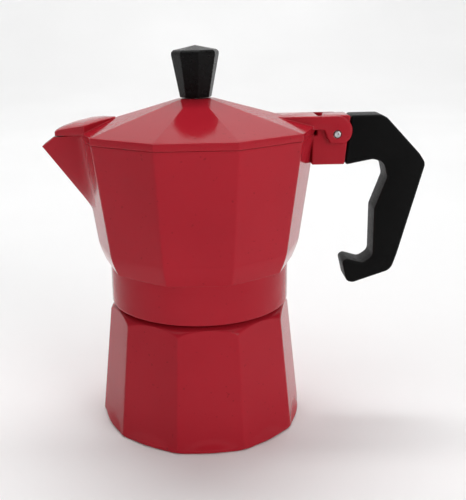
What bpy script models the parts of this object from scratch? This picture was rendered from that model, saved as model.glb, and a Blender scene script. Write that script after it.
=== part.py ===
"""Stovetop coffee maker (moka pot): boiler, funnel, filter, collector, hinged lid and handle.

Frame: metres, +Z up. The origin is the centre of the boiler's underside. The spout points
along -X and the handle along +X. Dimensions below are millimetres, scaled by MM.
"""
import math

import bmesh
import bpy
from mathutils import Matrix, Vector

MM = 0.001
GAP = 0.3                    # clearance kept between neighbouring pieces
SIDES = 10                   # facets round the boiler, collector and lid

# Boiler
BASE_YAW = math.radians(4.9)  # how far the boiler's facets sit round from the collector's
BASE_FOOT_R = 43.8           # across-corner radius at the underside
BASE_TAPER = 0.110           # radius lost per unit of height
BASE_SHOULDER_Z = 51.2
BASE_SHOULDER_R = 39.0
BASE_CORNER_R = 6.0
BASE_FOOT_RING_R = 42.5        # turned foot, proud of the facets' middles
NECK_R = 32.6
NECK_BORE_R = 29.6
NECK_TOP_Z = 62.6
BASE_FLOOR = 3.0
THREAD_PITCH = 3.0
THREAD_TURNS = 2.3
THREAD_R = 0.62
THREAD_START_Z = 54.0

# Safety valve, screwed into the boiler's rear facet
VALVE_AZ = BASE_YAW + math.radians(90.0)
VALVE_Z = 34.0
VALVE_HOLE_R = 4.3
VALVE_SEAT_R = 7.6
VALVE_SEAT_X = 36.6          # distance of the spot face from the axis
VALVE_THREAD_R = 4.0
VALVE_HEX_R = 6.6
VALVE_HEX_H = 4.0
VALVE_INNER_X = 31.5         # inner end of the valve body
VALVE_LIFT = 1.0

# Funnel
FLANGE_R = 31.8
FLANGE_T = 0.8
BASKET_R = 29.1
BASKET_WALL = 0.9
BASKET_FLOOR_Z = 43.0
TUBE_R = 4.6
TUBE_BORE_R = 3.8
TUBE_FOOT_Z = 7.0

# Gasket and filter plate
GASKET_R = 33.3
GASKET_BORE_R = 27.0
GASKET_LIP_R = 29.9
PLATE_R = 29.6
PLATE_T = 0.8
HOLE_R = 1.0

# Collector
COLLAR_R = 37.5
COLLAR_Z = 52.5
COLLAR_BORE_R = 33.7
WAIST_Z = 75.4               # the facets start to draw in towards the collar
CREASE_Z = 69.0              # and meet it here
SEAT_Z = 69.3                # underside of the collector's floor
FLOOR_Z = 72.6               # inside of the collector's floor
BODY_TOP_Z = 122.0
BODY_TOP_R = 48.87           # across-corner radius at the rim
BODY_TAPER = 0.1396
BODY_WALL = 2.5
SPOUT_ROOT_Z = 92.0          # height where the spout leaves the body
SPOUT_ROOT_REACH = 44.3
SPOUT_LEAN = 0.748           # reach gained per unit of height along the front edge
SPOUT_LIP_X = 57.9           # the lip falls from here to a tip at 63.9
SPOUT_LIP_Z = 122.3
SPOUT_LIP_FALL = 0.68
SPOUT_BACK_X = 44.2          # and rises a little towards the bowl, under the lid's hood
SPOUT_BACK_Z = 123.8
SPOUT_ROOT_X = 38.0          # its sides are struck from this distance from the axis
SPOUT_ROOT_W = 12.5
SPOUT_EDGE_W = 1.2
SPOUT_WALL = 2.6             # along the spout; about 1.7 square to its sides

# Lid
LID_RIM_R = 49.2
LID_RIM_Z = 124.9
LID_LOW_Z = 122.4
LID_SLOPE = 0.2744
LID_TOP_R = 7.0
LID_TOP_Z = LID_RIM_Z + LID_SLOPE * (LID_RIM_R - LID_TOP_R)
LID_WALL = 2.3

# Hinge
PIN_X = 56.0
PIN_Z = 121.6
PIN_R = 1.35
PIN_HALF = 8.9
EAR_OUT = 8.5                # outer faces of the lid's two ears
EAR_IN = 6.7
EAR_R = 6.0
EAR_RISE = 1.2               # the ears are struck from just above the pin
HINGE_TOP_Z = PIN_Z + EAR_RISE + EAR_R
BRACKET_HALF = 6.4
TONGUE_END_X = 48.3

# Handle and knob
HANDLE_HALF = 6.2
HANDLE_EDGE = 1.9
TANG_HALF = 3.0
TANG_X = 73.5
TANG_Z = (114.6, 125.4)
HANDLE_SCREW_X = 67.0
KNOB_BASE_Z = LID_TOP_Z + GAP
KNOB_YAW = math.radians(9.0)

RED = (0.380, 0.016, 0.026)
BLACK = (0.012, 0.012, 0.013)
STEEL = (0.60, 0.60, 0.61)
ALUMINIUM = (0.70, 0.71, 0.72)
BRASS = (0.71, 0.53, 0.26)
RUBBER = (0.74, 0.73, 0.68)


def new_collection(name):
    """Make a collection in the scene."""
    collection = bpy.data.collections.new(name)
    bpy.context.scene.collection.children.link(collection)
    return collection


for old in list(bpy.data.objects):
    bpy.data.objects.remove(old, do_unlink=True)
PARTS = new_collection("moka_pot")
CUTTERS = new_collection("cutters")


def material(name, colour, roughness, metallic):
    """A plain Principled BSDF material."""
    mat = bpy.data.materials.new(name)
    mat.use_nodes = True
    mat.diffuse_color = (*colour, 1.0)
    shader = mat.node_tree.nodes["Principled BSDF"]
    shader.inputs["Base Color"].default_value = (*colour, 1.0)
    shader.inputs["Roughness"].default_value = roughness
    shader.inputs["Metallic"].default_value = metallic
    return mat


def put(name, mesh, collection=CUTTERS):
    """Link an object; anything in the cutters' collection is only a tool."""
    obj = bpy.data.objects.new(name, mesh)
    collection.objects.link(obj)
    if collection is CUTTERS:
        obj.hide_render = True
        obj.display_type = "WIRE"
    return obj


def bake(obj):
    """Apply an object's modifiers to its mesh."""
    graph = bpy.context.evaluated_depsgraph_get()
    graph.update()
    mesh = bpy.data.meshes.new_from_object(obj.evaluated_get(graph), depsgraph=graph)
    obj.modifiers.clear()
    obj.data = mesh
    return obj


def face_out(obj):
    """Turn every face of a closed mesh outwards."""
    bm = bmesh.new()
    bm.from_mesh(obj.data)
    bmesh.ops.recalc_face_normals(bm, faces=bm.faces)
    bm.to_mesh(obj.data)
    bm.free()
    return obj


def lathe(name, profile, steps=48):
    """Turn a profile of (radius, height) about Z, its outer side running top to bottom.

    A profile that starts and ends on the axis makes a solid; any other is closed into a ring.
    """
    mesh = bpy.data.meshes.new(name)
    bm = bmesh.new()
    verts = [bm.verts.new((r * MM, 0.0, z * MM)) for r, z in profile]
    for a, b in zip(verts, verts[1:]):
        bm.edges.new((a, b))
    if profile[0][0] > 0.0:
        bm.edges.new((verts[-1], verts[0]))
    bm.to_mesh(mesh)
    bm.free()
    obj = put(name, mesh)
    screw = obj.modifiers.new("turn", "SCREW")
    screw.axis = "Z"
    screw.steps = steps
    screw.render_steps = steps
    screw.use_merge_vertices = True
    screw.merge_threshold = 0.00001
    screw.use_smooth_shade = True
    screw.use_normal_calculate = True
    return face_out(bake(obj))


def rounded(points, steps=2):
    """Points of an outline whose corners (x, y, radius) are struck as arcs."""
    out = []
    count = len(points)
    for i, (x, y, r) in enumerate(points):
        here = Vector((x, y))
        to_a = Vector(points[i - 1][:2]) - here
        to_b = Vector(points[(i + 1) % count][:2]) - here
        if r <= 0.0:
            out.append((x, y))
            continue
        half = to_a.angle(to_b) / 2.0
        reach = min(r / math.tan(half), 0.49 * to_a.length, 0.49 * to_b.length)
        radius = reach * math.tan(half)
        mid = (to_a.normalized() + to_b.normalized()).normalized()
        centre = here + mid * (radius / math.sin(half))
        start = here + to_a.normalized() * reach - centre
        end = here + to_b.normalized() * reach - centre
        turn = start.angle_signed(end)
        for k in range(steps + 1):
            arm = start.copy()
            arm.rotate(Matrix.Rotation(-turn * k / steps, 2))
            out.append(tuple(centre + arm))
    return out


def outline_solid(name, points, half, bevel=0.0, segments=2):
    """Extrude an XZ outline by half either side of Y = 0, with optional rounded edges."""
    curve = bpy.data.curves.new(name, "CURVE")
    curve.dimensions = "2D"
    curve.fill_mode = "BOTH"
    curve.extrude = half * MM
    spline = curve.splines.new("POLY")
    spline.points.add(len(points) - 1)
    for point, (x, z) in zip(spline.points, points):
        point.co = (x * MM, z * MM, 0.0, 1.0)
    spline.use_cyclic_u = True
    shape = put(name + "_curve", curve)
    shape.rotation_euler = (math.pi / 2.0, 0.0, 0.0)
    graph = bpy.context.evaluated_depsgraph_get()
    graph.update()
    mesh = bpy.data.meshes.new_from_object(shape.evaluated_get(graph), depsgraph=graph)
    mesh.transform(shape.matrix_world)
    bpy.data.objects.remove(shape, do_unlink=True)
    bm = bmesh.new()
    bm.from_mesh(mesh)
    bmesh.ops.remove_doubles(bm, verts=bm.verts, dist=0.000005)
    bmesh.ops.dissolve_limit(bm, angle_limit=0.001, verts=bm.verts, edges=bm.edges)
    bmesh.ops.recalc_face_normals(bm, faces=bm.faces)
    bm.to_mesh(mesh)
    bm.free()
    obj = put(name, mesh)
    if bevel > 0.0:
        soft = obj.modifiers.new("edge", "BEVEL")
        soft.width = bevel * MM
        soft.segments = segments
        soft.limit_method = "ANGLE"
        soft.angle_limit = math.radians(50.0)
        bake(obj)
    return obj


def cylinder(name, radius, start, end, sides=24, radius_end=None):
    """A cylinder, cone or prism between two points, in millimetres."""
    a = Vector(start) * MM
    b = Vector(end) * MM
    mesh = bpy.data.meshes.new(name)
    bm = bmesh.new()
    last = radius if radius_end is None else radius_end
    bmesh.ops.create_cone(bm, cap_ends=True, segments=sides, radius1=radius * MM,
                          radius2=last * MM, depth=(b - a).length)
    turn = (b - a).to_track_quat("Z", "Y").to_matrix().to_4x4()
    bmesh.ops.transform(bm, matrix=Matrix.Translation((a + b) / 2.0) @ turn, verts=bm.verts)
    bm.to_mesh(mesh)
    bm.free()
    return put(name, mesh)


def box(name, low, high):
    """A box between two corners, in millimetres."""
    size = [(h - l) * MM for l, h in zip(low, high)]
    mid = [(h + l) / 2.0 * MM for l, h in zip(low, high)]
    mesh = bpy.data.meshes.new(name)
    bm = bmesh.new()
    bmesh.ops.create_cube(bm, size=1.0)
    bmesh.ops.scale(bm, vec=size, verts=bm.verts)
    bmesh.ops.translate(bm, vec=mid, verts=bm.verts)
    bm.to_mesh(mesh)
    bm.free()
    return put(name, mesh)


def loft(name, rings, steps=1):
    """Join rings of equal point counts, low to high, each anticlockwise seen from above."""
    mesh = bpy.data.meshes.new(name)
    bm = bmesh.new()
    rows = []
    for low, high in zip(rings, rings[1:]):
        for k in range(steps):
            t = k / steps
            rows.append([[a + (b - a) * t for a, b in zip(p, q)] for p, q in zip(low, high)])
    rows.append(rings[-1])
    rows = [[bm.verts.new([c * MM for c in p]) for p in ring] for ring in rows]
    for low, high in zip(rows, rows[1:]):
        for i in range(len(low)):
            j = (i + 1) % len(low)
            bm.faces.new((low[i], low[j], high[j], high[i]))
    bm.faces.new(rows[0][::-1])
    bm.faces.new(rows[-1])
    bmesh.ops.recalc_face_normals(bm, faces=bm.faces)
    bm.to_mesh(mesh)
    bm.free()
    return put(name, mesh)


def helix(name, radius, pitch, turns, wire_r, start_z, per_turn=32, fade=0.0, resolution=1):
    """A round wire wound about Z, as a closed mesh; fade draws its ends in towards the axis."""
    curve = bpy.data.curves.new(name, "CURVE")
    curve.dimensions = "3D"
    curve.bevel_depth = wire_r * MM
    curve.bevel_resolution = resolution
    curve.use_fill_caps = True
    count = int(turns * per_turn) + 1
    spline = curve.splines.new("POLY")
    spline.points.add(count - 1)
    for i, point in enumerate(spline.points):
        t = turns * i / (count - 1)
        edge = min(t, turns - t) * per_turn / 3.0
        r = radius - fade * max(0.0, 1.0 - edge)
        angle = 2.0 * math.pi * t
        point.co = (r * math.cos(angle) * MM, r * math.sin(angle) * MM,
                    (start_z + pitch * t) * MM, 1.0)
    shape = put(name + "_curve", curve)
    graph = bpy.context.evaluated_depsgraph_get()
    graph.update()
    mesh = bpy.data.meshes.new_from_object(shape.evaluated_get(graph), depsgraph=graph)
    bpy.data.objects.remove(shape, do_unlink=True)
    bm = bmesh.new()
    bm.from_mesh(mesh)
    bmesh.ops.remove_doubles(bm, verts=bm.verts, dist=0.000001)
    bmesh.ops.recalc_face_normals(bm, faces=bm.faces)
    bm.to_mesh(mesh)
    bm.free()
    return put(name, mesh)


def combine(obj, tools, how):
    """Cut, join or intersect an object with each tool in turn."""
    for tool in tools:
        step = obj.modifiers.new(tool.name, "BOOLEAN")
        step.operation = how
        step.solver = "EXACT"
        step.object = tool
    return bake(obj)


def group(name, tools):
    """One cutter from several that don't touch."""
    bm = bmesh.new()
    for tool in tools:
        bm.from_mesh(tool.data)
    mesh = bpy.data.meshes.new(name)
    bm.to_mesh(mesh)
    bm.free()
    for tool in tools:
        bpy.data.objects.remove(tool, do_unlink=True)
    return put(name, mesh)


def finish(obj, mat, origin=(0.0, 0.0, 0.0), sharp=32.0):
    """Make a piece: its own material, its origin (in millimetres) and its shading."""
    bm = bmesh.new()
    bm.from_mesh(obj.data)
    bmesh.ops.remove_doubles(bm, verts=bm.verts, dist=0.000002)
    bmesh.ops.dissolve_degenerate(bm, edges=bm.edges, dist=0.000002)
    bm.to_mesh(obj.data)
    bm.free()
    CUTTERS.objects.unlink(obj)
    PARTS.objects.link(obj)
    obj.hide_render = False
    obj.display_type = "TEXTURED"
    place = Vector(origin) * MM
    obj.data.transform(Matrix.Translation(-place))
    obj.location = place
    obj.data.materials.clear()
    obj.data.materials.append(mat)
    obj.data.shade_smooth()
    obj.data.set_sharp_from_angle(angle=math.radians(sharp))
    return obj


def soften(obj, width, segments=1, angle=30.0):
    """Round the edges that turn through more than an angle."""
    soft = obj.modifiers.new("edge", "BEVEL")
    soft.width = width * MM
    soft.segments = segments
    soft.limit_method = "ANGLE"
    soft.angle_limit = math.radians(angle)
    return bake(obj)


def turned(obj, angle, axis="Z"):
    """Turn an object's mesh about an axis through the origin."""
    obj.data.transform(Matrix.Rotation(angle, 4, axis))
    return obj


def arc(cx, cz, r, start, end, steps):
    """Points (radius, height) along an arc, angles in degrees."""
    span = [start + (end - start) * k / steps for k in range(steps + 1)]
    return [(cx + r * math.cos(math.radians(a)), cz + r * math.sin(math.radians(a))) for a in span]


# ---------------------------------------------------------------- boiler
def base_r(z):
    """Across-corner radius of the boiler at a height."""
    return BASE_FOOT_R - BASE_TAPER * z


boiler = lathe("boiler", [(0.0, 54.0), (base_r(54.0), 54.0), (base_r(0.0), 0.0), (0.0, 0.0)], SIDES)
turned(boiler, BASE_YAW)
soften(boiler, 0.9, 2)
shoulder = arc(BASE_SHOULDER_R - BASE_CORNER_R, BASE_SHOULDER_Z - BASE_CORNER_R, BASE_CORNER_R,
               90.0, 0.0, 6)
foot = arc(41.9, 1.4, 1.4, 0.0, -90.0, 3)
foot_ring = lathe("foot_ring", [(39.4, 5.0), (40.9, 5.0), (BASE_FOOT_RING_R, 1.2),
                                (BASE_FOOT_RING_R, 0.7), (BASE_FOOT_RING_R - 0.5, 0.2),
                                (39.4, 0.2)], 60)
boiler_form = lathe("boiler_form", [(0.0, BASE_SHOULDER_Z)] + shoulder
                    + [(39.3, 44.0), (46.0, 38.0), (46.0, 3.4)] + foot + [(0.0, 0.0)], 60)
neck = lathe("neck", [(0.0, NECK_TOP_Z), (NECK_R - 0.7, NECK_TOP_Z), (NECK_R, NECK_TOP_Z - 0.7),
                      (NECK_R, BASE_SHOULDER_Z + 0.8), (NECK_R + 0.8, BASE_SHOULDER_Z - 1.0),
                      (0.0, BASE_SHOULDER_Z - 1.0)])
thread = helix("thread", NECK_R - 0.12, THREAD_PITCH, THREAD_TURNS, THREAD_R, THREAD_START_Z,
               24, 1.2, 0)
cavity = lathe("cavity", [(0.0, NECK_TOP_Z + 2.0), (NECK_BORE_R, NECK_TOP_Z + 2.0),
                          (NECK_BORE_R, 51.5), (30.6, 49.6), (33.0, 46.8), (34.4, 43.8),
                          (34.9, 40.5), (38.2, 7.0), (37.2, 4.2), (34.6, BASE_FLOOR),
                          (0.0, BASE_FLOOR)])


def valve_point(reach, offset=0.0, z=VALVE_Z):
    """A point at a distance from the pot's axis along the safety valve."""
    c = math.cos(VALVE_AZ)
    s = math.sin(VALVE_AZ)
    return (reach * c - offset * s, reach * s + offset * c, z)


valve_hole = cylinder("valve_hole", VALVE_HOLE_R, valve_point(28.0), valve_point(46.0), 24)
valve_spot = cylinder("valve_spot", VALVE_SEAT_R, valve_point(VALVE_SEAT_X), valve_point(48.0), 32)
combine(boiler, [boiler_form], "INTERSECT")
combine(boiler, [neck, thread, foot_ring], "UNION")
combine(boiler, [cavity, valve_hole, valve_spot], "DIFFERENCE")
finish(boiler, material("boiler_paint", RED, 0.28, 0.0))

# ---------------------------------------------------------------- safety valve
valve_turn = Matrix.Rotation(VALVE_AZ, 4, "Z") @ Matrix.Rotation(math.pi / 2.0, 4, "Y")
HEX_X = VALVE_SEAT_X + GAP


def along_valve(obj, start):
    """Lay an object made about Z from height 0 along the valve's axis, from a distance out."""
    move = Matrix.Translation(Vector(valve_point(start)) * MM)
    obj.data.transform(move @ valve_turn)
    return obj


body_len = HEX_X - VALVE_INNER_X
valve_body = along_valve(lathe("valve_body", [
    (0.0, body_len + VALVE_HEX_H - 0.5), (3.4, body_len + VALVE_HEX_H - 0.5),
    (VALVE_THREAD_R, body_len + VALVE_HEX_H - 1.0), (VALVE_THREAD_R, 0.4),
    (VALVE_THREAD_R - 0.4, 0.0), (0.0, 0.0)], 24), VALVE_INNER_X)
valve_hex = along_valve(lathe("valve_hex", [
    (0.0, VALVE_HEX_H), (VALVE_HEX_R - 0.8, VALVE_HEX_H), (VALVE_HEX_R, VALVE_HEX_H - 0.6),
    (VALVE_HEX_R, 0.0), (0.0, 0.0)], 6), HEX_X)
valve_bore = cylinder("valve_bore", 2.7, valve_point(VALVE_INNER_X + 2.0), valve_point(48.0), 20)
valve_port = cylinder("valve_port", 1.3, valve_point(28.0), valve_point(VALVE_INNER_X + 3.0), 16)
combine(valve_body, [valve_hex], "UNION")
combine(valve_body, [valve_bore, valve_port], "DIFFERENCE")
finish(valve_body, material("valve_brass", BRASS, 0.32, 1.0), valve_point(HEX_X), 25.0)

plunger_x = VALVE_INNER_X + 2.0 + GAP
valve_plunger = along_valve(lathe("valve_plunger", [
    (0.0, 8.9), (0.7, 8.9), (0.9, 8.6), (0.9, 1.6), (2.3, 1.6), (2.3, 0.6), (1.8, 0.0),
    (0.0, 0.0)], 20), plunger_x)
finish(valve_plunger, material("plunger_steel", STEEL, 0.25, 1.0), valve_point(plunger_x))

spring_x = plunger_x + 1.6 + GAP
valve_spring = along_valve(helix("valve_spring", 1.75, 0.85, 3.0, 0.24, 0.24, 12, 0.0, 1), spring_x)
finish(valve_spring, material("spring_steel", STEEL, 0.30, 1.0), valve_point(spring_x))

retainer_x = spring_x + 3.0 * 0.85 + 2.0 * 0.24 + GAP
valve_retainer = along_valve(lathe("valve_retainer", [
    (1.25, 1.0), (1.9, 1.0), (2.4, 0.7), (2.4, 0.0), (1.25, 0.0)], 20), retainer_x)
finish(valve_retainer, material("retainer_brass", BRASS, 0.36, 1.0), valve_point(retainer_x))

# ---------------------------------------------------------------- funnel
flange_z = NECK_TOP_Z + GAP
basket_in = BASKET_R - BASKET_WALL
funnel_basket = lathe("funnel_basket", [
    (basket_in, flange_z + FLANGE_T), (FLANGE_R, flange_z + FLANGE_T), (FLANGE_R, flange_z),
    (BASKET_R, flange_z), (BASKET_R, BASKET_FLOOR_Z + 1.5), (BASKET_R - 1.5, BASKET_FLOOR_Z),
    (TUBE_R + 1.3, BASKET_FLOOR_Z - 5.6), (TUBE_R + 1.3, BASKET_FLOOR_Z - 10.0),
    (TUBE_R + GAP, BASKET_FLOOR_Z - 10.0), (TUBE_R + GAP, BASKET_FLOOR_Z - 4.4),
    (21.0, BASKET_FLOOR_Z - 1.15), (21.0, BASKET_FLOOR_Z + 0.8),
    (basket_in, BASKET_FLOOR_Z + 1.6)])
finish(funnel_basket, material("basket_aluminium", ALUMINIUM, 0.34, 1.0))

tube_top = BASKET_FLOOR_Z - 3.6
funnel_tube = lathe("funnel_tube", [
    (TUBE_BORE_R, tube_top), (TUBE_R, tube_top), (TUBE_R, TUBE_FOOT_Z + 0.4),
    (TUBE_R - 0.2, TUBE_FOOT_Z), (TUBE_BORE_R, TUBE_FOOT_Z)], 24)
finish(funnel_tube, material("tube_aluminium", ALUMINIUM, 0.32, 1.0))


def perforated(name, radius, low, high, rings, hole_r, steps):
    """A disc with rings of round holes, each ring (radius, count)."""
    disc = lathe(name, [(0.0, high), (radius, high), (radius, low), (0.0, low)], steps)
    pins = []
    for reach, count in rings:
        for k in range(count):
            angle = 2.0 * math.pi * (k + 0.5 * (count % 2)) / count
            x = reach * math.cos(angle)
            y = reach * math.sin(angle)
            pins.append(cylinder("pin", hole_r, (x, y, low - 1.0), (x, y, high + 1.0), 6))
    return combine(disc, [group(name + "_holes", pins)], "DIFFERENCE")


strainer_z = BASKET_FLOOR_Z - 0.75
funnel_strainer = perforated("funnel_strainer", 20.6, strainer_z, strainer_z + 0.7,
                             [(7.5, 6), (15.0, 12)], 1.0, 40)
finish(funnel_strainer, material("strainer_aluminium", ALUMINIUM, 0.36, 1.0))

# ---------------------------------------------------------------- gasket and filter plate
gasket_z = flange_z + FLANGE_T + GAP
plate_z = SEAT_Z - GAP - PLATE_T
gasket = lathe("gasket", [
    (GASKET_LIP_R, SEAT_Z - GAP), (GASKET_R, SEAT_Z - GAP), (GASKET_R, gasket_z),
    (GASKET_BORE_R, gasket_z), (GASKET_BORE_R, plate_z - GAP), (GASKET_LIP_R, plate_z - GAP)])
finish(gasket, material("gasket_rubber", RUBBER, 0.62, 0.0))

filter_plate = perforated("filter_plate", PLATE_R, plate_z, plate_z + PLATE_T,
                          [(6.5, 6), (13.5, 12), (21.0, 18)], HOLE_R, 48)
finish(filter_plate, material("plate_aluminium", ALUMINIUM, 0.33, 1.0))


# ---------------------------------------------------------------- collector
def body_r(z):
    """Across-corner radius of the collector at a height."""
    return BODY_TOP_R - BODY_TAPER * (BODY_TOP_Z - z)


collector = lathe("collector", [
    (0.0, BODY_TOP_Z), (body_r(BODY_TOP_Z), BODY_TOP_Z), (body_r(WAIST_Z), WAIST_Z),
    (41.2, 72.4), (39.8, CREASE_Z), (37.2, CREASE_Z - 0.9), (0.0, CREASE_Z - 0.9)], SIDES)
soften(collector, 0.9, 2)
collar = lathe("collar", [
    (0.0, CREASE_Z + 1.0), (COLLAR_R - 0.6, CREASE_Z + 1.0), (COLLAR_R, CREASE_Z + 0.4),
    (COLLAR_R, COLLAR_Z + 0.8), (COLLAR_R - 0.8, COLLAR_Z), (0.0, COLLAR_Z)], 60)


def spout_wedge(name, low, high, root_w, edge_w, back):
    """The spout's upright wedge between two heights, its front edge set back by a distance."""
    rings = []
    for z in (low, high):
        reach = SPOUT_ROOT_REACH + SPOUT_LEAN * (z - SPOUT_ROOT_Z) - back
        rings.append([(-SPOUT_ROOT_X, root_w, z), (-reach, edge_w, z), (-reach, -edge_w, z),
                      (-SPOUT_ROOT_X, -root_w, z)])
    return loft(name, rings, 8)


spout = spout_wedge("spout", SPOUT_ROOT_Z, SPOUT_BACK_Z + 1.0, SPOUT_ROOT_W, SPOUT_EDGE_W, 0.0)
soften(spout, 0.6, 1, 40.0)
spout_way = spout_wedge("spout_way", 97.0, 125.0, SPOUT_ROOT_W - 2.0, 0.5, SPOUT_WALL)
lip_cut = outline_solid("lip_cut", [
    (-30.0, BODY_TOP_Z), (-30.0, BODY_TOP_Z + 6.0), (-74.0, BODY_TOP_Z + 6.0),
    (-74.0, SPOUT_LIP_Z - SPOUT_LIP_FALL * (74.0 - SPOUT_LIP_X)), (-SPOUT_LIP_X, SPOUT_LIP_Z),
    (-SPOUT_BACK_X, SPOUT_BACK_Z), (-43.0, BODY_TOP_Z)], 16.0)
body_cavity = lathe("body_cavity", [
    (0.0, BODY_TOP_Z + 2.0), (body_r(BODY_TOP_Z + 2.0) - BODY_WALL, BODY_TOP_Z + 2.0),
    (body_r(80.0) - BODY_WALL - 1.2, 80.0), (37.2, 75.4), (35.0, 73.2), (32.0, FLOOR_Z),
    (0.0, FLOOR_Z)], SIDES)
floor_boss = lathe("floor_boss", [(0.0, 75.5), (8.6, 75.5), (9.2, 74.9), (10.5, 71.6),
                                  (0.0, 71.6)], 32)
collar_bore = lathe("collar_bore", [
    (0.0, SEAT_Z + 3.1), (4.3, SEAT_Z + 3.1), (26.0, SEAT_Z + 0.5), (26.0, SEAT_Z),
    (COLLAR_BORE_R, SEAT_Z), (COLLAR_BORE_R, COLLAR_Z + 0.8), (COLLAR_BORE_R + 0.8, COLLAR_Z - 1.0),
    (0.0, COLLAR_Z - 1.0)])
column_hole = cylinder("column_hole", 4.3, (0, 0, 60), (0, 0, 90), 24)

bracket_face = [(43.0, 109.1, 0.0), (59.5, 109.1, 0.0), (61.5, HINGE_TOP_Z, 0.6),
                (51.9, HINGE_TOP_Z, 1.6), (49.2, 125.9, 1.6), (48.3, 123.4, 1.2),
                (48.3, 121.0, 0.0), (43.0, 121.0, 0.0)]
bracket = outline_solid("bracket", rounded(bracket_face), BRACKET_HALF, 0.7)
tang = box("tang", (58.0, -TANG_HALF, TANG_Z[0]), (TANG_X, TANG_HALF, TANG_Z[1]))
knuckle_hole = cylinder("knuckle_hole", PIN_R + GAP, (PIN_X, -12, PIN_Z), (PIN_X, 12, PIN_Z), 24)
tang_hole = cylinder("tang_hole", 1.6, (HANDLE_SCREW_X, 0, 104), (HANDLE_SCREW_X, 0, 123), 20)
combine(spout, [lip_cut], "DIFFERENCE")
combine(collector, [collar, spout, bracket, tang], "UNION")
combine(collector, [body_cavity], "DIFFERENCE")
combine(collector, [floor_boss], "UNION")
combine(collector, [collar_bore, column_hole, spout_way, knuckle_hole, tang_hole], "DIFFERENCE")
finish(collector, material("collector_paint", RED, 0.28, 0.0))

coffee_column = lathe("coffee_column", [
    (2.6, 108.5), (4.6, 108.5), (4.8, 108.3), (7.2, 77.0), (7.2, 75.5 + GAP), (4.0, 75.5 + GAP),
    (4.0, SEAT_Z + 3.2), (2.6, SEAT_Z + 3.2)], 24)
column_slot = box("column_slot", (-10, -1.2, 101.5), (10, 1.2, 106.0))
combine(coffee_column, [column_slot], "DIFFERENCE")
finish(coffee_column, material("column_aluminium", ALUMINIUM, 0.35, 1.0))

column_cap = lathe("column_cap", [
    (0.0, 111.2), (3.6, 111.0), (5.8, 109.9), (6.0, 108.8), (2.3, 108.8), (2.3, 106.6),
    (0.0, 106.6)], 24)
finish(column_cap, material("cap_aluminium", ALUMINIUM, 0.30, 1.0))

# ---------------------------------------------------------------- lid
lid = lathe("lid", [(0.0, LID_TOP_Z), (LID_TOP_R, LID_TOP_Z), (LID_RIM_R, LID_RIM_Z),
                    (LID_RIM_R, LID_LOW_Z), (0.0, LID_LOW_Z)], SIDES)
soften(lid, 0.6, 2, 34.0)
ear = [(30.0, 123.2, 0.0), (50.9, 123.2, 0.8), (51.8, 120.4, 0.0), (53.4, 117.8, 0.8),
       (59.4, 117.8, 0.6)]
ear_arc = arc(PIN_X, PIN_Z + EAR_RISE, EAR_R, -38.0, 90.0, 9)
ear_outline = rounded(ear) + ear_arc + [(30.0, HINGE_TOP_Z)]
tongue = outline_solid("tongue", ear_outline, EAR_OUT, 0.7)


def canopy_ring(x, half, top, low, crown):
    """One section of the hood over the spout, seen along X: flat sides, a low crown."""
    return [(x, half, low), (x, half, top - crown), (x, half * 0.55, top), (x, -half * 0.55, top),
            (x, -half, top - crown), (x, -half, low)]


canopy = loft("canopy", [canopy_ring(-57.6, 4.0, 124.8, LID_LOW_Z + 0.3, 0.4),
                         canopy_ring(-54.5, 6.4, 126.4, LID_LOW_Z + 0.6, 1.0),
                         canopy_ring(-50.0, 10.1, 127.9, LID_LOW_Z + 1.1, 1.4),
                         canopy_ring(-43.8, 15.2, 129.1, LID_LOW_Z + 1.8, 1.2),
                         canopy_ring(-38.5, 7.4, 129.7, LID_LOW_Z + 2.6, 0.8),
                         canopy_ring(-33.0, 1.4, 129.7, LID_LOW_Z + 3.4, 0.2)])
lid_cavity = lathe("lid_cavity", [
    (0.0, LID_TOP_Z - LID_WALL), (6.2, LID_TOP_Z - LID_WALL),
    (LID_RIM_R - 2.6, LID_RIM_Z - 1.7), (LID_RIM_R - 2.6, LID_LOW_Z - 1.0),
    (0.0, LID_LOW_Z - 1.0)], SIDES)
canopy_way = loft("canopy_way", [canopy_ring(-58.5, 2.4, 122.9, 121.0, 0.2),
                                 canopy_ring(-55.5, 4.0, 124.1, 121.0, 0.3),
                                 canopy_ring(-50.0, 8.0, 125.8, 121.0, 0.9),
                                 canopy_ring(-44.2, 12.4, 126.9, 121.0, 0.9),
                                 canopy_ring(-38.5, 8.0, 127.6, 121.0, 0.6),
                                 canopy_ring(-34.0, 4.0, 127.6, 121.0, 0.4)])
ear_slot = box("ear_slot", (47.2, -EAR_IN, 110.0), (70.0, EAR_IN, 126.4))
ear_gap = box("ear_gap", (TONGUE_END_X, -EAR_IN, 110.0), (70.0, EAR_IN, 140.0))
ear_hole = cylinder("ear_hole", PIN_R + GAP, (PIN_X, -14, PIN_Z), (PIN_X, 14, PIN_Z), 24)
knob_hole = cylinder("knob_hole", 1.7, (0, 0, 120), (0, 0, 145), 20)
combine(lid, [tongue, canopy], "UNION")
combine(lid, [lid_cavity, canopy_way, ear_slot, ear_gap, ear_hole, knob_hole], "DIFFERENCE")
finish(lid, material("lid_paint", RED, 0.28, 0.0), (PIN_X, 0.0, PIN_Z))

hinge_pin = cylinder("hinge_pin", PIN_R, (PIN_X, -PIN_HALF, PIN_Z), (PIN_X, PIN_HALF, PIN_Z), 24)
soften(hinge_pin, 0.35, 2, 50.0)
finish(hinge_pin, material("pin_steel", STEEL, 0.22, 1.0), (PIN_X, 0.0, PIN_Z))

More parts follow.
